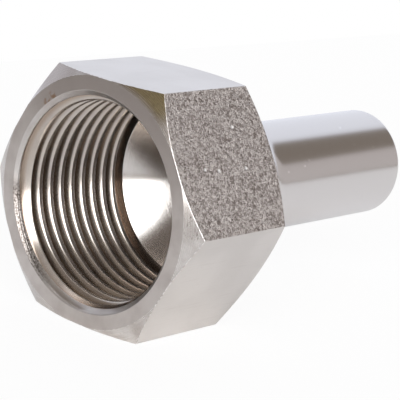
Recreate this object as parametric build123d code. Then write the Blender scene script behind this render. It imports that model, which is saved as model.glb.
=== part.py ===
from build123d import *
import math
import os

# Press fitting adapter in stainless steel, turned in one piece from hexagon bar, in millimetres.
# The axis lies along X, with the threaded mouth towards -X and the spigot towards +X.
# The part lies on one flat of its hexagon, so +Z is up.
# Depths are measured along the axis from the mouth face. The finished part is then moved along
# the axis, so that the origin is on the axis where the spigot's full diameter begins.

# Female pipe thread, 11 turns to the inch with 55 degree flanks
thread_major_diameter = 33.25
thread_depth = 1.425
thread_pitch = 25.4 / 11
thread_angle = 55.0
thread_root_width = 0.06
thread_start_angle = -136.0

# Hexagon, 38 mm across its flats
flat_wall = 2.375
hexagon_length = 21.5
corner_chamfer_angle = 30.0

# How far the turned face and the turned shoulder differ from the flats in radius
face_margin = 0.05
shoulder_margin = 0.6

# Shoulder behind the hexagon, and the spigot
taper_angle = 40.0
neck_radius = 6.0
spigot_diameter = 18.0
spigot_wall = 1.0
spigot_edge_radius = 0.6
total_length = 66.0

# Mouth of the thread, outside its roots: a chamfer at the face, then a slimmer lead-in cone
mouth_margin = 0.225
mouth_chamfer_depth = 0.95
mouth_chamfer_angle = 42.0
lead_in_angle = 30.0

# Relief groove at the thread's end, just outside its roots and reaching under the shoulder
relief_margin = 0.075
relief_width = 1.0
relief_past_hexagon = 0.3

# Cone that narrows from inside the thread's crests to the spigot's waterway
cone_step = 0.6
cone_angle = 45.0
waterway_edge_chamfer = 0.25

# How far a cutting shape runs past the metal that it cuts, which leaves no mark on the part
cutter_clearance = 0.3

# Thread
root_radius = thread_major_diameter / 2
crest_radius = root_radius - thread_depth
thread_chamber_depth = hexagon_length + relief_past_hexagon

# Hexagon
across_flats = thread_major_diameter + 2 * flat_wall
corner_radius = across_flats / math.sqrt(3)
face_radius = across_flats / 2 + face_margin
shoulder_radius = across_flats / 2 - shoulder_margin

# Spigot
spigot_radius = spigot_diameter / 2
waterway_radius = spigot_radius - spigot_wall


def run(rise, angle):
    """Length along the axis in which a surface at this angle to the axis changes its radius by rise."""
    return rise / math.tan(math.radians(angle))


def chamfer_run(rise):
    """Length along the axis of a hexagon corner's chamfer, whose angle is taken from the face."""
    return rise * math.tan(math.radians(corner_chamfer_angle))


# Where the shoulder's cone would meet the spigot, and where the fillet between them ends
neck_depth = hexagon_length + run(shoulder_radius - spigot_radius, taper_angle)
spigot_start = neck_depth + neck_radius * math.tan(math.radians(taper_angle / 2))


def turned_outside():
    """The outside as a lathe leaves it, wider than the bar where the hexagon's flats stay unturned."""
    clear = corner_radius + cutter_clearance
    outline = [
        (0, 0),
        (0, face_radius),
        (chamfer_run(clear - face_radius), clear),
        (hexagon_length - chamfer_run(clear - shoulder_radius), clear),
        (hexagon_length, shoulder_radius),
        (neck_depth, spigot_radius),
        (total_length, spigot_radius),
        (total_length, 0),
    ]
    section = make_face(Polyline(*outline, close=True))
    neck = section.vertices().sort_by_distance((neck_depth, spigot_radius))[0]
    section = fillet(neck, neck_radius)
    edge = section.vertices().sort_by_distance((total_length, spigot_radius))[0]
    section = fillet(edge, spigot_edge_radius)
    return revolve(section, Axis.X)


def hexagon_bar():
    """Bar with corners towards +Y and -Y, and one flat underneath."""
    section = Plane.YZ * RegularPolygon(across_flats / 2, 6, major_radius=False)
    return extrude(section, total_length)


def turned(outline):
    """Ring or disc with this outline of depths and radii."""
    return revolve(make_face(Polyline(*outline, close=True)), Axis.X)


def thread_drilling():
    """Flat-bottomed hole at the thread's crests."""
    return extrude(Plane.YZ * Circle(crest_radius), thread_chamber_depth)


def thread_groove():
    """Right-hand helical groove from a turn before the mouth into the relief at the thread's end."""
    flank = math.tan(math.radians(thread_angle / 2))
    root_half = thread_root_width / 2
    cutter_half = root_half + (thread_depth + cutter_clearance) * flank
    last_depth = thread_chamber_depth - cutter_half
    path = Helix(thread_pitch, thread_pitch + last_depth, crest_radius)
    section = Polygon(
        (-cutter_clearance, -cutter_half),
        (thread_depth, -root_half),
        (thread_depth, root_half),
        (-cutter_clearance, cutter_half),
        align=None,
    )
    start = Plane(origin=path @ 0, x_dir=(1, 0, 0), z_dir=(0, 1, 0))
    groove = sweep(start * section, path=path, is_frenet=True)
    return Plane.YZ * Pos(0, 0, -thread_pitch) * Rot(0, 0, thread_start_angle) * groove


def mouth():
    """Chamfer at the face and the lead-in cone behind it."""
    mouth_radius = root_radius + mouth_margin
    chamfer_end_radius = mouth_radius - mouth_chamfer_depth * math.tan(math.radians(mouth_chamfer_angle))
    lead_in_end = mouth_chamfer_depth + run(chamfer_end_radius - crest_radius, lead_in_angle)
    return turned(
        [
            (0, 0),
            (0, mouth_radius),
            (mouth_chamfer_depth, chamfer_end_radius),
            (lead_in_end, crest_radius),
            (lead_in_end, 0),
        ]
    )


def thread_relief():
    """Groove behind the last turn, just deeper than the thread."""
    start = thread_chamber_depth - relief_width
    relief_radius = root_radius + relief_margin
    return turned(
        [
            (start, 0),
            (start, relief_radius),
            (thread_chamber_depth, relief_radius),
            (thread_chamber_depth, 0),
        ]
    )


def waterway():
    """Cone from the thread's chamber down to the spigot's bore, which is open at the far end."""
    cone_mouth_radius = crest_radius - cone_step
    cone_end = thread_chamber_depth + run(cone_mouth_radius - waterway_radius, cone_angle)
    return turned(
        [
            (thread_chamber_depth, 0),
            (thread_chamber_depth, cone_mouth_radius),
            (cone_end, waterway_radius),
            (total_length - waterway_edge_chamfer, waterway_radius),
            (total_length, waterway_radius + waterway_edge_chamfer),
            (total_length, 0),
        ]
    )


def adapter_body():
    threaded = (turned_outside() & hexagon_bar()) - thread_drilling() - thread_groove()
    solid = threaded - mouth() - thread_relief() - waterway()
    return Pos(-spigot_start, 0, 0) * solid


os.makedirs("parts", exist_ok=True)
export_step(adapter_body(), "parts/adapter_body.step")
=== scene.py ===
import math
import bpy
import bmesh
import numpy as np
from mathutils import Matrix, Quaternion, Vector


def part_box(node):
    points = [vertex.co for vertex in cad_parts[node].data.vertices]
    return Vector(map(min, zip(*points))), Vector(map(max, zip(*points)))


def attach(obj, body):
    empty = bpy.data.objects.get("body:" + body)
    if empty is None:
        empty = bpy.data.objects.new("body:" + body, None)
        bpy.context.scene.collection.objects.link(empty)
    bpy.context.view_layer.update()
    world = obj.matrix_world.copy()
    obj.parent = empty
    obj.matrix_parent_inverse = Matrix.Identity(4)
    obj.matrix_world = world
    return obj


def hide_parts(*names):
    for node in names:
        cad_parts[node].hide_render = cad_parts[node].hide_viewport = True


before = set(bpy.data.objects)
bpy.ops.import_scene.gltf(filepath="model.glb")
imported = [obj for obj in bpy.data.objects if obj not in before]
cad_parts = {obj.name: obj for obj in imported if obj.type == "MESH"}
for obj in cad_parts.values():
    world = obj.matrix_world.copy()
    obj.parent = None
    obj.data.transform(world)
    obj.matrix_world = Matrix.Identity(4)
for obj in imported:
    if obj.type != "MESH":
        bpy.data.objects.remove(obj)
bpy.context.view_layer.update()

mm = 0.001
scene = bpy.context.scene
scene.view_settings.view_transform = "Standard"
bodyNode = "adapter_body"
lowCorner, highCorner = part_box(bodyNode)
print("frame loaded, box", [round(v / mm, 2) for v in (*lowCorner, *highCorner)])


# Helpers for a turned profile, worked out in millimetres as (depth, radius)

def tanDeg(angle):
    return math.tan(math.radians(angle))


def between(start, end, shares):
    # points on a straight line, at these shares of the way
    start, end = np.array(start, float), np.array(end, float)
    return [start + (end - start) * share for share in shares]


def arc(centre, radius, start, end, steps):
    # points from one angle to another, in degrees from the axis towards the outside
    points = []
    for i in range(steps + 1):
        angle = math.radians(start + (end - start) * i / steps)
        points.append(np.array(centre) + radius * np.array((math.cos(angle), math.sin(angle))))
    return points


def roundedCorner(before, corner, after, radius, steps):
    # points of a small curve that takes the place of a corner, within less than half of each side
    most = 0.45
    a = np.array(before, float) - corner
    b = np.array(after, float) - corner
    lengthA, lengthB = np.linalg.norm(a), np.linalg.norm(b)
    a, b = a / lengthA, b / lengthB
    halfOpening = math.acos(max(-1.0, min(1.0, float(a @ b)))) / 2
    reach = min(radius / math.tan(halfOpening), most * lengthA, most * lengthB)
    start, end = corner + a * reach, corner + b * reach
    points = []
    for i in range(steps + 1):
        t = i / steps
        points.append((1 - t) ** 2 * start + 2 * t * (1 - t) * np.array(corner) + t ** 2 * end)
    return points


def smoothMax(a, b, width):
    # the greater of two values, with a smooth change from one to the other
    h = np.clip(1 - np.abs(a - b) / width, 0, 1)
    return np.maximum(a, b) + h * h * width / 4


def smoothMin(a, b, width):
    return -smoothMax(-a, -b, width)


def flatShareNormals(mesh):
    # each point takes the mean direction of the faces around it by their area,
    # so wide flats stay flat beside small arcs
    mesh.polygons.foreach_set("use_smooth", [True] * len(mesh.polygons))
    normals = np.zeros((len(mesh.vertices), 3))
    for polygon in mesh.polygons:
        share = np.array(polygon.normal) * polygon.area
        for v in polygon.vertices:
            normals[v] += share
    normals /= np.maximum(np.linalg.norm(normals, axis=1), 1e-20)[:, None]
    mesh.normals_split_custom_set_from_vertices(normals.tolist())


# The fitting, with sizes in millimetres, angles in degrees and depths from the mouth's face

fitting = {
    "acrossFlats": 38.0,
    "hexLength": 21.5,
    "cornerChamfer": 30.0,       # from the face
    "faceRadius": 19.05,
    "shoulderRadius": 18.4,
    "taper": 40.0,               # of the shoulder, from the axis
    "neckRadius": 6.0,
    "spigotRadius": 9.0,
    "waterwayRadius": 8.0,
    "waterwayEdge": 0.25,        # chamfer at the spigot's open end
    "endRadius": 0.6,
    "length": 66.0,
    "pitch": 25.4 / 11,
    "flank": 27.5,
    "rootRadius": 16.625,
    "crestRadius": 15.2,
    "rootHalf": 0.03,            # half the width of the groove's flat root
    "threadStart": -136.0,
    "mouthRadius": 16.85,
    "mouthChamfer": 0.95,
    "mouthAngle": 42.0,
    "leadInAngle": 30.0,
    "reliefRadius": 16.7,
    "reliefWidth": 1.0,
    "chamberDepth": 21.8,
    "coneRadius": 14.6,
    "coneAngle": 45.0,
    "blastedFlats": (30, 150, 270),   # where the coarse flats face, from +Y towards +Z
}

# Small roundings, in millimetres
rounding = {
    "turnedEdge": 0.11,          # around the mouth's face
    "rearEdge": 0.22,
    "longEdge": 0.22,            # the six long edges between the flats
    "shoulder": 0.25,
    "boreEdge": 0.05,
    "coneFoot": 0.4,
    "coneTop": 0.12,
    "reliefWall": 0.15,
    "reliefStart": 0.12,
    "crest": 0.28,
    "root": 0.22,
    "mouth": 0.06,
    "lip": 0.08,
}

# Where the rows and columns of points lie
layout = {
    "columns": 252,                                 # around the axis, besides those at the long edges
    "longEdge": (-2.2, -1, -0.5, 0.5, 1, 2.2),      # in shares of a long edge's arc
    "flat": (0.04, 0.35, 0.65, 0.96),               # from here on in shares of each stretch
    "taper": (0.08, 0.5, 0.92),
    "spigot": (0.02, 0.25, 0.5, 0.75, 0.97),
    "waterway": (0.03, 0.35, 0.7, 0.97),
    "cone": (0.08, 0.3, 0.5, 0.7, 0.92),
    "crest": (-1, -0.5, 0, 0.5, 1),                 # in shares of the crest's rounding
    "groove": (0.4, 0.65, 0.82, 0.93),              # from the groove's edge to its middle
    "land": (0.25, 0.42),                           # millimetres past the crest's rounding
    "ring": (-0.06, -0.02, 0.02, 0.06),             # millimetres beside each edge of the mouth
    "relief": (1, 0.6, 0.3, 0.1),                   # in shares of the crest's rounding
    "wallStart": 0.1,                               # depth where the threaded wall begins
}
halfSide = math.radians(30)      # half the angle that one flat takes up


def longEdge():
    # the middle of a long edge's arc, and the angle from the hexagon's corner at which the arc ends
    edge = rounding["longEdge"]
    centre = (fitting["acrossFlats"] / 2 - edge) / math.cos(halfSide)
    return centre, math.atan2(edge * math.sin(halfSide), centre + edge * math.cos(halfSide))


def hexRadius(angle):
    # distance from the axis to the flats at an angle, with the long edges rounded
    edge = rounding["longEdge"]
    fromFlat = angle % (2 * halfSide) - halfSide
    fromCorner = halfSide - abs(fromFlat)
    centre, tangent = longEdge()
    if fromCorner < tangent:
        across = centre * math.sin(fromCorner)
        return centre * math.cos(fromCorner) + math.sqrt(edge ** 2 - across ** 2)
    return fitting["acrossFlats"] / 2 / math.cos(fromFlat)


def frontEdge(radius, steps):
    # the face's outer edge and the corner chamfer's edge, each a small arc,
    # with one middle where the flat has no chamfer
    faceRadius, chamfer = fitting["faceRadius"], fitting["cornerChamfer"]
    e = rounding["turnedEdge"]
    slope = math.radians(chamfer)
    faceCentre = (e, faceRadius - e * (1 - math.cos(slope)) / math.sin(slope))
    flatDepth = (math.sin(slope) * (radius - e - faceRadius) + e) / math.cos(slope)
    flatCentre = (flatDepth, radius - e)
    if flatCentre[0] < faceCentre[0]:
        faceCentre = flatCentre = (e, radius - e)
    return arc(faceCentre, e, 180, 180 - chamfer, steps) + arc(flatCentre, e, 180 - chamfer, 90, steps)


def outsideColumn(radius):
    # from the mouth's face over the hexagon and the spigot to its open end
    f = fitting
    chamferRun = (radius - f["shoulderRadius"]) * tanDeg(f["cornerChamfer"])
    neckDepth = f["hexLength"] + (f["shoulderRadius"] - f["spigotRadius"]) / tanDeg(f["taper"])
    neckReach = f["neckRadius"] * tanDeg(f["taper"] / 2)
    rear = (f["hexLength"] - chamferRun, radius)
    shoulder = np.array((f["hexLength"], f["shoulderRadius"]))
    neck = np.array((neckDepth, f["spigotRadius"]))
    taperEnd = neck + (shoulder - neck) / np.linalg.norm(shoulder - neck) * neckReach
    neckCentre = (neckDepth + neckReach, f["spigotRadius"] + f["neckRadius"])
    end = (f["length"], f["spigotRadius"])
    endCentre = (f["length"] - f["endRadius"], f["spigotRadius"] - f["endRadius"])
    boreEdge = (f["length"], f["waterwayRadius"] + f["waterwayEdge"])
    bore = (f["length"] - f["waterwayEdge"], f["waterwayRadius"])
    points = frontEdge(radius, 3)
    front = points[-1]
    points += between(front, rear, layout["flat"])
    points += roundedCorner(front, rear, shoulder, rounding["rearEdge"], 3)
    points += roundedCorner(rear, shoulder, neck, rounding["shoulder"], 2)
    points += between(shoulder, taperEnd, layout["taper"])
    points += arc(neckCentre, f["neckRadius"], -90 - f["taper"], -90, 8)
    points += between(points[-1], end, layout["spigot"])
    points += arc(endCentre, f["endRadius"], 90, 0, 6)
    points += roundedCorner(end, boreEdge, bore, rounding["boreEdge"], 2)
    return points


def innerEnd():
    # from the spigot's open end through the waterway and its cone to the relief groove
    f = fitting
    coneRun = (f["coneRadius"] - f["waterwayRadius"]) / tanDeg(f["coneAngle"])
    boreEdge = (f["length"], f["waterwayRadius"] + f["waterwayEdge"])
    bore = (f["length"] - f["waterwayEdge"], f["waterwayRadius"])
    coneFoot = (f["chamberDepth"] + coneRun, f["waterwayRadius"])
    coneTop = (f["chamberDepth"], f["coneRadius"])
    wallTop = (f["chamberDepth"], f["reliefRadius"])
    reliefStart = (f["chamberDepth"] - f["reliefWidth"], f["reliefRadius"])
    lastCrest = (reliefStart[0], f["crestRadius"])
    points = roundedCorner(boreEdge, bore, coneFoot, rounding["boreEdge"], 2)
    points += between(bore, coneFoot, layout["waterway"])
    points += roundedCorner(bore, coneFoot, coneTop, rounding["coneFoot"], 3)
    points += between(coneFoot, coneTop, layout["cone"])
    points += roundedCorner(coneFoot, coneTop, wallTop, rounding["coneTop"], 3)
    points += roundedCorner(coneTop, wallTop, reliefStart, rounding["reliefWall"], 2)
    points += roundedCorner(wallTop, reliefStart, lastCrest, rounding["reliefStart"], 2)
    return points


def chamferEndRadius():
    return fitting["mouthRadius"] - fitting["mouthChamfer"] * tanDeg(fitting["mouthAngle"])


def plainBore(depth):
    # the mouth's chamfer, the lead-in cone and the thread's crests, with no groove
    f = fitting
    chamfer = f["mouthRadius"] - depth * tanDeg(f["mouthAngle"])
    leadIn = chamferEndRadius() - (depth - f["mouthChamfer"]) * tanDeg(f["leadInAngle"])
    return smoothMax(smoothMax(chamfer, leadIn, rounding["mouth"]), f["crestRadius"], rounding["mouth"])


def grooveWall(offset):
    # radius of a groove's flank or root at a distance along the axis from the groove's middle
    f = fitting
    flank = f["rootRadius"] - (np.abs(offset) - f["rootHalf"]) / tanDeg(f["flank"])
    return smoothMin(flank, f["rootRadius"], rounding["root"])


def grooveEdge(middle, side):
    # where a groove's flank comes out of the plain bore, found by halving
    near = np.zeros_like(middle)
    far = np.full_like(middle, fitting["pitch"] / 2)
    for _ in range(30):
        mid = (near + far) / 2
        inside = grooveWall(mid) > plainBore(middle + side * mid)
        near, far = np.where(inside, mid, near), np.where(inside, far, mid)
    return middle + side * (near + far) / 2


def threadRows(angles):
    # depths and radii of the threaded wall, one column for each angle,
    # from the relief groove back to the mouth
    f = fitting
    crest = rounding["crest"]
    first, end = layout["wallStart"], f["chamberDepth"] - f["reliefWidth"]
    tiny = 0.0001
    base = f["pitch"] * (angles - math.radians(f["threadStart"])) / (2 * math.pi)
    middles = [base + k * f["pitch"] for k in range(-2, int(end / f["pitch"]) + 3)]
    rows = []
    for middle in middles:
        rows.append(middle)
        for side in (-1, 1):
            edge = grooveEdge(middle, side)
            rows += [edge + crest * share for share in layout["crest"]]
            rows += between(edge, middle, layout["groove"])
        rows += [edge + crest + step for step in layout["land"]]
    leadInRun = (chamferEndRadius() - f["crestRadius"]) / tanDeg(f["leadInAngle"])
    for ring in (f["mouthChamfer"], f["mouthChamfer"] + leadInRun):
        rows += [np.full_like(angles, ring + step) for step in layout["ring"]]
    rows += [np.full_like(angles, end - crest * share) for share in layout["relief"]]
    depths = np.sort(np.clip(np.array(rows), first, end), axis=0)
    keep = [i for i, row in enumerate(depths) if row.max() > first + tiny and row.min() < end - tiny]
    depths = depths[[keep[0] - 1] + keep + [keep[-1] + 1]]
    groove = np.max([grooveWall(depths - middle) for middle in middles], axis=0)
    radii = smoothMax(plainBore(depths), groove, crest)
    fromEnd = np.clip(1 - (end - depths) / crest, 0, 1)
    radii += crest * (1 - np.sqrt(1 - fromEnd ** 2))
    return depths[::-1], radii[::-1]


def columnAngles():
    tangent = math.degrees(longEdge()[1])
    angles = [360 * i / layout["columns"] for i in range(layout["columns"])]
    for corner in range(0, 360, 60):
        angles += [corner + tangent * share for share in layout["longEdge"]]
    return np.radians(np.unique(np.round(np.array(angles) % 360, 4)))


def buildFitting():
    f = fitting
    angles = columnAngles()
    depths, radii = threadRows(angles)
    innerPoints = innerEnd()
    mouth, face = (0.0, f["mouthRadius"]), (0.0, f["faceRadius"])
    columns = []
    for i, angle in enumerate(angles):
        outside = outsideColumn(hexRadius(angle))
        thread = list(np.stack((depths[:, i], radii[:, i]), axis=1))
        lip = roundedCorner(thread[-1], mouth, face, rounding["lip"], 3)
        faceMiddle = np.array((0.0, (lip[-1][1] + outside[0][1]) / 2))
        columns.append(outside + innerPoints + thread + lip + [faceMiddle])
    grid = np.array(columns)                       # column, row, (depth, radius)
    x = lowCorner.x / mm + grid[:, :, 0]
    y = grid[:, :, 1] * np.cos(angles)[:, None]
    z = grid[:, :, 1] * np.sin(angles)[:, None]
    points = np.stack((x, y, z), axis=2).reshape(-1, 3) * mm
    count, rows = grid.shape[:2]
    threadStart = rows - 1 - len(lip) - len(depths)
    threadEnd = threadStart + len(depths) - 1
    rowsPerTurn = 1 + 2 * len(layout["crest"] + layout["groove"]) + len(layout["land"])

    def across(i, j):
        # the point beside row j in the next column; where the last column meets the first,
        # the thread has gone on by one turn
        if i + 1 == count and threadStart <= j <= threadEnd:
            return max(threadStart, j - rowsPerTurn)
        return ((i + 1) % count) * rows + j

    faces = []
    for i in range(count):
        for j in range(rows):
            k = (j + 1) % rows
            faces.append((i * rows + j, i * rows + k, across(i, k), across(i, j)))
    mesh = bpy.data.meshes.new("pressFittingAdapter")
    mesh.from_pydata(points.tolist(), [], faces)
    cleaned = bmesh.new()
    cleaned.from_mesh(mesh)
    bmesh.ops.remove_doubles(cleaned, verts=cleaned.verts, dist=0.002 * mm)
    bmesh.ops.dissolve_degenerate(cleaned, edges=cleaned.edges, dist=0.001 * mm)
    bmesh.ops.recalc_face_normals(cleaned, faces=cleaned.faces)
    cleaned.to_mesh(mesh)
    cleaned.free()
    flatShareNormals(mesh)
    piece = bpy.data.objects.new("pressFittingAdapter", mesh)
    scene.collection.objects.link(piece)
    print("fitting built:", count, "columns,", rows, "rows")
    return piece


fittingPiece = buildFitting()


# Shader helpers

class Wire:
    # wraps an output socket, so that an expression on values adds its Math nodes
    def __init__(self, tree, socket):
        self.tree = tree
        self.socket = socket

    def __add__(self, other):
        return self.tree.maths("ADD", self, other)

    def __radd__(self, other):
        return self.tree.maths("ADD", other, self)

    def __sub__(self, other):
        return self.tree.maths("SUBTRACT", self, other)

    def __rsub__(self, other):
        return self.tree.maths("SUBTRACT", other, self)

    def __mul__(self, other):
        return self.tree.maths("MULTIPLY", self, other)

    def __rmul__(self, other):
        return self.tree.maths("MULTIPLY", other, self)

    def __truediv__(self, other):
        return self.tree.maths("DIVIDE", self, other)

    def __rtruediv__(self, other):
        return self.tree.maths("DIVIDE", other, self)

    def __pow__(self, other):
        return self.tree.maths("POWER", self, other)

    def __rpow__(self, other):
        return self.tree.maths("POWER", other, self)


class Tree:
    # a node tree that is filled from empty
    def __init__(self, nodeTree):
        self.nodes = nodeTree.nodes
        self.links = nodeTree.links
        self.nodes.clear()

    def node(self, kind, settings=None, sockets=None):
        made = self.nodes.new(kind)
        for name, value in (settings or {}).items():
            setattr(made, name, value)
        for key, value in (sockets or {}).items():
            if isinstance(value, Wire):
                self.links.new(value.socket, made.inputs[key])
            else:
                made.inputs[key].default_value = value
        return [Wire(self, socket) for socket in made.outputs]

    def maths(self, operation, first, second=0.0):
        return self.node("ShaderNodeMath", {"operation": operation}, {0: first, 1: second})[0]

    def vectorMaths(self, operation, first, second):
        # the outcome as a vector, and as a number
        return self.node("ShaderNodeVectorMath", {"operation": operation}, {0: first, 1: second})

    def rise(self, value, start, end):
        # 0 below start, 1 above end, and a smooth step between them
        return self.node("ShaderNodeMapRange", {"interpolation_type": "SMOOTHSTEP"},
                         {0: value, 1: start, 2: end, 3: 0.0, 4: 1.0})[0]

    def near(self, value, middle, full, none):
        # 1 within full of the middle, and 0 beyond none
        return 1 - self.rise(self.maths("ABSOLUTE", value - middle), full, none)

    def blend(self, share, first, second):
        # a mix of two colours
        first, second = (c if isinstance(c, Wire) else (*c, 1) for c in (first, second))
        return self.node("ShaderNodeMix", {"data_type": "RGBA"}, {0: share, 6: first, 7: second})[2]

    def noise(self, vector, scale, detail=2.0, rough=0.5):
        # a value, and a colour of three such values
        return self.node("ShaderNodeTexNoise", {},
                         {"Vector": vector, "Scale": scale, "Detail": detail, "Roughness": rough})[:2]

    def cells(self, vector, scale):
        # distance from the nearest cell's middle, and the cell's own colour
        return self.node("ShaderNodeTexVoronoi", {}, {"Vector": vector, "Scale": scale})[:2]

    def bump(self, height, strength, distance):
        return self.node("ShaderNodeBump", {},
                         {"Height": height, "Strength": strength, "Distance": distance * mm})[0]


def colour(*seen):
    # red, green and blue as they are seen on screen, from 0 to 255, as the values that a shader takes
    return tuple(((v / 255 + 0.055) / 1.055) ** 2.4 for v in seen)


def newSteel(name):
    # an empty material, and the place on the fitting in millimetres
    material = bpy.data.materials.new(name)
    material.use_nodes = True
    tree = Tree(material.node_tree)
    place = tree.node("ShaderNodeTexCoord")[3]
    place = tree.node("ShaderNodeVectorMath", {"operation": "SCALE"}, {0: place, "Scale": 1 / mm})[0]
    return material, tree, place


def finishSteel(tree, tint, roughness, normal):
    shader = tree.node("ShaderNodeBsdfPrincipled", {},
                       {"Base Color": tint, "Metallic": 1.0, "Roughness": roughness, "Normal": normal})[0]
    tree.node("ShaderNodeOutputMaterial", {}, {"Surface": shader})


def aroundAxis(tree, place):
    # depth from the mouth's face, distance from the axis,
    # and the angle around it from +Y towards +Z in turns
    x, y, z = tree.node("ShaderNodeSeparateXYZ", {}, {0: place})
    radius = (y * y + z * z) ** 0.5
    turn = tree.maths("ARCTAN2", z, y) / (2 * math.pi)
    return x - lowCorner.x / mm, radius, turn


tints = {
    "plain": colour(206, 202, 199),
    "bright": colour(216, 212, 209),
    "dull": colour(192, 185, 181),
    "satin": colour(216, 213, 212),
    "face": colour(206, 200, 196),
    # painted shade, for the face's top and the upper left corner
    "shaded": colour(174, 165, 160),
    "grain": colour(205, 198, 194),
    # painted shade in the grains' hollows
    "grainHollowShade": colour(124, 114, 108),
    "thread": colour(204, 197, 189),
    # painted shade in the thread's grooves
    "brown": colour(150, 128, 108),
    "dark": colour(112, 103, 97),
    "olive": colour(186, 172, 122),
    "stain": colour(146, 112, 82),
    # painted shade of the mouth's chamfer
    "mouthShade": colour(78, 70, 65),
    # painted glints, and bright worn steel
    "glintAndWear": colour(242, 241, 240),
}

# Small marks, in millimetres from the frame's origin; the nicks are painted glints, the dents real dents
# painted bright as glints
marks = {
    # painted glints on the spigot
    "nickGlints": [
        (19.7, -6.9, 5.8), (24.4, -7.5, 5.0), (6.8, -7.8, 4.5),
        (1.1, -8.4, 3.2), (5.4, -8.2, 3.7), (18.9, -4.2, 8.0),
    ],
    "nickGlintSize": 0.16,
    "dents": [(-26.4, -17.1, 8.4), (-20.5, -17.2, 8.3), (-21.0, -14.0, 13.8), (-29.2, -16.8, 8.8)],
    "dentSize": 0.3,
    # the face's small brown stain
    "faceShadeAndStain": [(-34.9, 10.0, 14.0), (-34.9, 10.9, 13.0)],
    "faceStainSize": 0.9,
}

# Films, wear and painted shade, placed by the angle around the axis in turns, or by the radius in
# millimetres.
# A share is how far each of them covers the steel.
filmsWearAndShade = {
    # painted shade at the face's top
    "faceTopShade": (0.27, 0.08, 0.24),           # middle, then where it is full and where it has gone
    "faceTopShadeShare": 0.8,
    "faceStainShare": 0.8,
    # painted shade on the upper left corner chamfer
    "leftCornerShade": (1 / 6, 0.02, 0.05),
    "leftCornerShadeShare": 0.85,
    "oliveStart": (0.25, 0.3),
    "oliveEnd": (0.34, 0.37),
    "oliveRadius": (19.0, 20.0),
    "oliveShare": 0.75,
    "speckShare": 0.6,
    "scratchStart": (0.4, 0.44),
    "scratchStretch": (0.3, 2.6, 0.5),
    "scratchShare": 0.8,
    # painted shade, a dark reflection, on the mouth's chamfer
    "mouthShadeStart": (-0.2, -0.13),
    "mouthShadeEnd": (-0.02, 0.0),
    "mouthSpecks": 0.5,
    # painted shade on the thread's flanks
    "flankShadeRadius": (15.3, 16.2),
    "flankShadeShare": 0.7,
}

# Grains of the coarse flats
grains = {
    "perMillimetre": 3.8,
    "bend": 3.0,                 # of the noise that bends the grains
    "fine": 6.0,
    "cloud": 0.35,
    "light": (0.3, 0.95),        # where a grain is all dark, and all light
    "cloudShare": 0.25,
    # how far the dents are painted bright, as glints
    "dentGlintShare": 0.8,
    "depth": 0.12,
    "roughness": (0.36, 0.12),   # the least, and what the fine noise adds
}

# Lines and grain of the drawn flats
drawn = {
    "stretch": (0.05, 1.0, 1.0),
    "lines": 3.0,
    "grain": 3.2,
    "cloud": 0.12,
    "cloudShare": 0.6,
    "lineShare": 0.35,
    "grainShare": 0.3,
    "bump": 0.3,
    "depth": 0.05,
    "roughness": (0.3, 0.06),
}

# Rings that the lathe left on the turned surfaces
lathe = {
    "rings": 9.0,                # in a millimetre
    "cloud": 0.3,
    "ringShare": 0.3,
    "bump": 0.4,
    "roughness": 0.06,           # what the rings add
}


def spots(tree, place, points, size):
    # 1 within the marks, with a soft edge
    share = None
    for point in points:
        away = tree.vectorMaths("DISTANCE", place, point)[1]
        near = 1 - tree.rise(away, size * 0.5, size * 1.3)
        share = near if share is None else tree.maths("MAXIMUM", share, near)
    return share


def blastedFlat(name):
    # coarse grains with bright tops and dark hollows: the dark is painted shade over a random grain tone,
    # and a few dents are painted bright as glints
    g = grains
    material, tree, place = newSteel(name)
    bent = tree.vectorMaths("ADD", place, tree.noise(place, g["bend"], 1.0)[1])[0]
    far, own = tree.cells(bent, g["perMillimetre"])
    pick = tree.node("ShaderNodeSeparateXYZ", {}, {0: own})[0]
    fine = tree.noise(place, g["fine"], 1.0)[0]
    cloud = tree.noise(place, g["cloud"], 3.0)[0]
    tint = tree.blend(tree.rise(pick * 0.75 + fine * 0.5, *g["light"]), tints["grainHollowShade"], tints["grain"])
    tint = tree.blend(tree.rise(cloud, 0.4, 0.7) * g["cloudShare"], tint, tints["dull"])
    dents = spots(tree, place, marks["dents"], marks["dentSize"])
    # the dents are real hollows in the bump, and painted nearly white as glints
    tint = tree.blend(dents * g["dentGlintShare"], tint, tints["glintAndWear"])
    height = pick * 0.5 - far * 0.9 + fine * 0.5 - dents * 1.2
    least, added = g["roughness"]
    finishSteel(tree, tint, least + fine * added, tree.bump(height, 1.0, g["depth"]))
    return material


def drawnFlat(name):
    # the smoother flats, with faint lines along the bar and a soft grain
    d = drawn
    material, tree, place = newSteel(name)
    along = tree.vectorMaths("MULTIPLY", place, d["stretch"])[0]
    lines = tree.noise(along, d["lines"], 3.0, 0.6)[0]
    grain = tree.noise(place, d["grain"], 2.0, 0.6)[0]
    cloud = tree.noise(place, d["cloud"])[0]
    tint = tree.blend(tree.rise(cloud, 0.35, 0.7) * d["cloudShare"], tints["bright"], tints["plain"])
    tint = tree.blend(tree.rise(lines, 0.55, 0.8) * d["lineShare"], tint, tints["dull"])
    tint = tree.blend(tree.rise(grain, 0.62, 0.75) * d["grainShare"], tint, tints["dull"])
    normal = tree.bump(lines * 0.5 + grain * 0.9, d["bump"], d["depth"])
    least, added = d["roughness"]
    finishSteel(tree, tint, least + cloud * added, normal)
    return material


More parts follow.
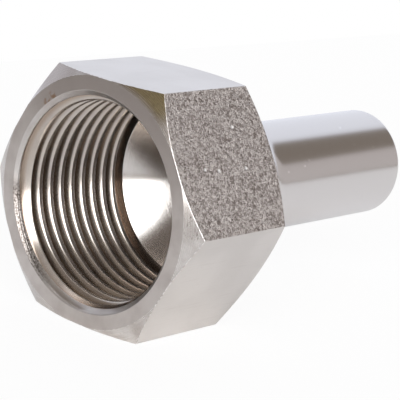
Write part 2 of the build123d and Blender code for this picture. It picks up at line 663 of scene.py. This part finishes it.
def turnedSteel(name, tint, dullTint, roughness, lineDepth, dress=None):
    # fine rings left by the lathe, with anything that dress adds to the tint
    material, tree, place = newSteel(name)
    depth, radius, turn = aroundAxis(tree, place)
    unrolled = tree.node("ShaderNodeCombineXYZ", {}, {0: depth, 1: radius, 2: turn * 2.0})[0]
    rings = tree.noise(unrolled, lathe["rings"], 2.0, 0.6)[0]
    cloud = tree.noise(place, lathe["cloud"], 3.0)[0]
    mixed = tree.blend(tree.rise(cloud, 0.35, 0.75), tint, dullTint)
    mixed = tree.blend(tree.rise(rings, 0.45, 0.8) * lathe["ringShare"], mixed, dullTint)
    if dress is not None:
        mixed = dress(tree, place, mixed, radius, turn)
    normal = tree.bump(rings, lathe["bump"], lineDepth)
    finishSteel(tree, mixed, roughness + rings * lathe["roughness"], normal)
    return material


def faceShadeAndStain(tree, place, tint, radius, turn):
    # painted shade darkens the face at the top, and there is a small brown stain
    uneven = tree.rise(tree.noise(place, 1.3)[0], 0.35, 0.6)
    patch = spots(tree, place, marks["faceShadeAndStain"], marks["faceStainSize"]) * uneven
    tint = tree.blend(tree.near(turn, *filmsWearAndShade["faceTopShade"]) * filmsWearAndShade["faceTopShadeShare"], tint, tints["shaded"])
    return tree.blend(patch * filmsWearAndShade["faceStainShare"], tint, tints["stain"])


def chamferStainAndShade(tree, place, tint, radius, turn):
    # an olive film with dark specks on the upper right corner, painted shade darkening the upper left
    # corner, and scratches on the corners at the right
    w = filmsWearAndShade
    cover = tree.rise(turn, *w["oliveStart"]) * (1 - tree.rise(turn, *w["oliveEnd"]))
    cover = cover * tree.rise(radius, *w["oliveRadius"])
    specks = tree.rise(tree.noise(place, 3.0, 1.0)[0], 0.62, 0.7)
    tint = tree.blend(cover * w["oliveShare"], tint, tints["olive"])
    tint = tree.blend(cover * specks * w["speckShare"], tint, tints["dark"])
    tint = tree.blend(tree.near(turn, *w["leftCornerShade"]) * w["leftCornerShadeShare"], tint, tints["shaded"])
    crossed = tree.vectorMaths("MULTIPLY", place, w["scratchStretch"])[0]
    scratch = tree.rise(tree.noise(crossed, 2.4, 1.0)[0], 0.66, 0.69)
    scratch = scratch * tree.rise(turn, *w["scratchStart"])
    return tree.blend(scratch * w["scratchShare"], tint, tints["dark"])


def mouthShade(tree, place, tint, radius, turn):
    # painted shade: a dark reflection with lighter specks, painted on the left of the mouth's chamfer
    cover = tree.rise(turn, *filmsWearAndShade["mouthShadeStart"]) * (1 - tree.rise(turn, *filmsWearAndShade["mouthShadeEnd"]))
    specks = tree.rise(tree.noise(place, 3.5, 2.0, 0.7)[0], 0.36, 0.6)
    return tree.blend(cover * (1 - specks * filmsWearAndShade["mouthSpecks"]), tint, tints["mouthShade"])


def threadFlankShade(tree, place, tint, radius, turn):
    # painted shade in the grooves: the flanks are browner than the crests
    flank = tree.rise(radius, *filmsWearAndShade["flankShadeRadius"])
    return tree.blend(flank * filmsWearAndShade["flankShadeShare"], tint, tints["brown"])


# spots on the spigot painted nearly white: painted glints
def spigotNickGlints(tree, place, tint, radius, turn):
    return tree.blend(spots(tree, place, marks["nickGlints"], marks["nickGlintSize"]), tint, tints["glintAndWear"])


def wornEdgeAndGlint(name):
    # bright edges, partly worn steel and partly painted glints, broken by darker grains
    material, tree, place = newSteel(name)
    grain = tree.noise(place, 2.2, 2.0, 0.7)[0]
    tint = tree.blend(tree.rise(grain, 0.42, 0.56), tints["dull"], tints["glintAndWear"])
    finishSteel(tree, tint, 0.34 + grain * 0.1, tree.bump(grain, 0.8, 0.08))
    return material


# roughness and the rings' depth in millimetres stand after the two tints
finishes = {
    "face": turnedSteel("turnedFace", tints["face"], tints["dull"], 0.36, 0.02, faceShadeAndStain),
    "chamfer": turnedSteel("cornerChamfers", tints["bright"], tints["dull"], 0.24, 0.01, chamferStainAndShade),
    "mouth": turnedSteel("mouthChamfer", tints["plain"], tints["dull"], 0.3, 0.03, mouthShade),
    "thread": turnedSteel("threadSteel", tints["thread"], tints["dull"], 0.2, 0.012, threadFlankShade),
    "cone": turnedSteel("coneSteel", tints["bright"], tints["plain"], 0.14, 0.012),
    "spigot": turnedSteel("satinSpigot", tints["satin"], tints["satin"], 0.17, 0.005, spigotNickGlints),
    "blasted": blastedFlat("blastedFlat"),
    "drawn": drawnFlat("drawnFlat"),
    "edge": wornEdgeAndGlint("wornEdgesAndGlints"),
}
zoneOrder = list(finishes)
for zone in zoneOrder:
    fittingPiece.data.materials.append(finishes[zone])
print("finishes made:", len(finishes))


# Where one finish gives way to the next, in millimetres.
# A slope is how far a surface looks along the axis: -1 towards the mouth's side, 1 towards the spigot's.
limits = {
    "pastHexagon": 0.05,
    "innerRadius": 17.1,         # takes in the cone and the relief groove
    "beforeCone": 0.01,
    "pastRoots": 0.1,
    "lipDepth": 0.02,
    "faceDepth": 0.03,
    "edgeSlope": (-0.8, -0.08),  # an arc of the hexagon's turned edges
    "rimSlope": -0.88,           # the same arc where it runs into the face
    "rimDepth": 0.003,
    "rimRadius": 18.0,
    "chamferSlope": 0.3,
}


def zoneAt(depth, radius, angle, slope, inward):
    # the finish at a place, where inward says that the surface looks towards the axis
    f, m = fitting, limits
    coneStart = f["chamberDepth"] - m["beforeCone"]
    rim = slope < m["rimSlope"] and depth > m["rimDepth"] and radius > m["rimRadius"]
    if depth > f["hexLength"] + m["pastHexagon"] and not (inward and radius < m["innerRadius"]):
        return "spigot"
    if inward and depth < f["mouthChamfer"]:
        return "mouth"
    if inward and depth > coneStart:
        return "cone"
    if radius < f["rootRadius"] + m["pastRoots"] and depth > m["lipDepth"]:
        return "thread" if depth < coneStart else "cone"
    if m["edgeSlope"][0] < slope < m["edgeSlope"][1] or rim:
        return "edge"
    if depth < m["faceDepth"]:
        return "face"
    if abs(slope) > m["chamferSlope"]:
        return "chamfer"
    flat = 60 * int(angle // 60) + 30
    return "blasted" if flat in f["blastedFlats"] else "drawn"


def dressFitting():
    # each face takes its finish from where it lies on the fitting
    for polygon in fittingPiece.data.polygons:
        centre, normal = polygon.center, polygon.normal
        depth = (centre.x - lowCorner.x) / mm
        radius = math.hypot(centre.y, centre.z) / mm
        angle = math.degrees(math.atan2(centre.z, centre.y)) % 360
        inward = normal.y * centre.y + normal.z * centre.z < 0
        polygon.material_index = zoneOrder.index(zoneAt(depth, radius, angle, normal.x, inward))


dressFitting()

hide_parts(bodyNode)
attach(fittingPiece, "root")


# Studio: a white floor, and a room that the steel shows as pale walls, a lamp box and darker gaps.
# Headings are in degrees from +X towards +Y, and heights in degrees over the horizon.
# A stretch is its low end and that end's softness, then its high end and its softness.

studio = {
    "floor": (-130.0, 330.0, -330.0, 160.0),       # west, east, south and north, in millimetres
    "paper": 0.82,
    "paperWhite": 0.92,                            # how far the camera sees the floor as plain white
    "gap": (0.245, 0.21, 0.18),
    "ceiling": (0.55, 0.53, 0.52),
    "ceilingHeight": (50.0, 66.0),
    "side": (0.60, 0.56, 0.55),
    "sideHeading": (-75.0, 10.0, -1.0, 4.0),
    "sideHeight": (-2.0, 4.0, 22.5, 1.5),
    "back": (0.95, 0.985, 1.08),
    "backHeading": (-1.0, 4.0, 112.0, 8.0),
    "backHeight": (-20.0, -12.0),
    "lampBox": (5.5, 5.5, 5.5),
    "lampHeading": (-164.0, 6.0, -94.0, 8.0),
    "lampHeight": (1.0, 3.0, 44.0, 8.0),
    "ground": (0.33, 0.33, 0.33),
    "groundHeight": (-12.0, -5.0),
}


def direction(heading, height):
    a, e = math.radians(heading), math.radians(height)
    return (math.cos(e) * math.cos(a), math.cos(e) * math.sin(a), math.sin(e))


def makeRoom():
    world = bpy.data.worlds.new("studioRoom")
    scene.world = world
    world.use_nodes = True
    tree = Tree(world.node_tree)
    view = tree.node("ShaderNodeTexCoord")[0]
    x, y, z = tree.node("ShaderNodeSeparateXYZ", {}, {0: view})
    heading = tree.maths("ARCTAN2", y, x) * (180 / math.pi)
    height = tree.maths("ARCSINE", z) * (180 / math.pi)

    def stretch(value, low, lowSoft, high, highSoft):
        start = tree.rise(value, low - lowSoft, low + lowSoft)
        return start * (1 - tree.rise(value, high - highSoft, high + highSoft))

    s = studio
    side = stretch(heading, *s["sideHeading"]) * stretch(height, *s["sideHeight"])
    back = stretch(heading, *s["backHeading"]) * tree.rise(height, *s["backHeight"])
    lampBox = stretch(heading, *s["lampHeading"]) * stretch(height, *s["lampHeight"])
    glow = tree.blend(tree.rise(height, *s["ceilingHeight"]), s["gap"], s["ceiling"])
    glow = tree.blend(side, glow, s["side"])
    glow = tree.blend(back, glow, s["back"])
    glow = tree.blend(lampBox, glow, s["lampBox"])
    glow = tree.blend(1 - tree.rise(height, *s["groundHeight"]), glow, s["ground"])
    cameraRay = tree.node("ShaderNodeLightPath")[0]
    room = tree.node("ShaderNodeBackground", {}, {0: glow, 1: 1.0})[0]
    white = tree.node("ShaderNodeBackground", {}, {0: (1, 1, 1, 1), 1: 1.0})[0]
    mixed = tree.node("ShaderNodeMixShader", {}, {0: cameraRay, 1: room, 2: white})[0]
    tree.node("ShaderNodeOutputWorld", {}, {0: mixed})


def makeFloor():
    west, east, south, north = (v * mm for v in studio["floor"])
    z = lowCorner.z
    corners = [(west, south, z), (east, south, z), (east, north, z), (west, north, z)]
    mesh = bpy.data.meshes.new("floor")
    mesh.from_pydata(corners, [], [(0, 1, 2, 3)])
    floor = bpy.data.objects.new("floor", mesh)
    scene.collection.objects.link(floor)
    material = bpy.data.materials.new("whiteFloor")
    material.use_nodes = True
    tree = Tree(material.node_tree)
    paper = tree.node("ShaderNodeBsdfDiffuse", {}, {0: (*(studio["paper"],) * 3, 1)})[0]
    white = tree.node("ShaderNodeEmission", {}, {0: (1, 1, 1, 1), 1: 1.0})[0]
    whiteShare = tree.node("ShaderNodeLightPath")[0] * studio["paperWhite"]
    mixed = tree.node("ShaderNodeMixShader", {}, {0: whiteShare, 1: paper, 2: white})[0]
    tree.node("ShaderNodeOutputMaterial", {}, {0: mixed})
    mesh.materials.append(material)


makeRoom()
makeFloor()


# Camera, at the photo's distance and angle, in millimetres and degrees

cameraSet = {
    "place": (-213.093, -174.648, 67.829),
    "lens": 156.46,
    "sensor": 36.0,
    "nearest": 10.0,
    "heading": 40.686,
    "drop": 14.69,
    "roll": 6.93,
}


def makeCamera():
    c = cameraSet
    data = bpy.data.cameras.new("photoCamera")
    data.lens = c["lens"]
    data.sensor_width = c["sensor"]
    data.clip_start = c["nearest"] * mm
    camera = bpy.data.objects.new("photoCamera", data)
    camera.location = [v * mm for v in c["place"]]
    aim = Vector(direction(c["heading"], -c["drop"])).to_track_quat("-Z", "Y")
    camera.rotation_mode = "QUATERNION"
    camera.rotation_quaternion = aim @ Quaternion((0, 0, 1), math.radians(c["roll"]))
    scene.collection.objects.link(camera)
    scene.camera = camera


makeCamera()
print("studio and camera set")
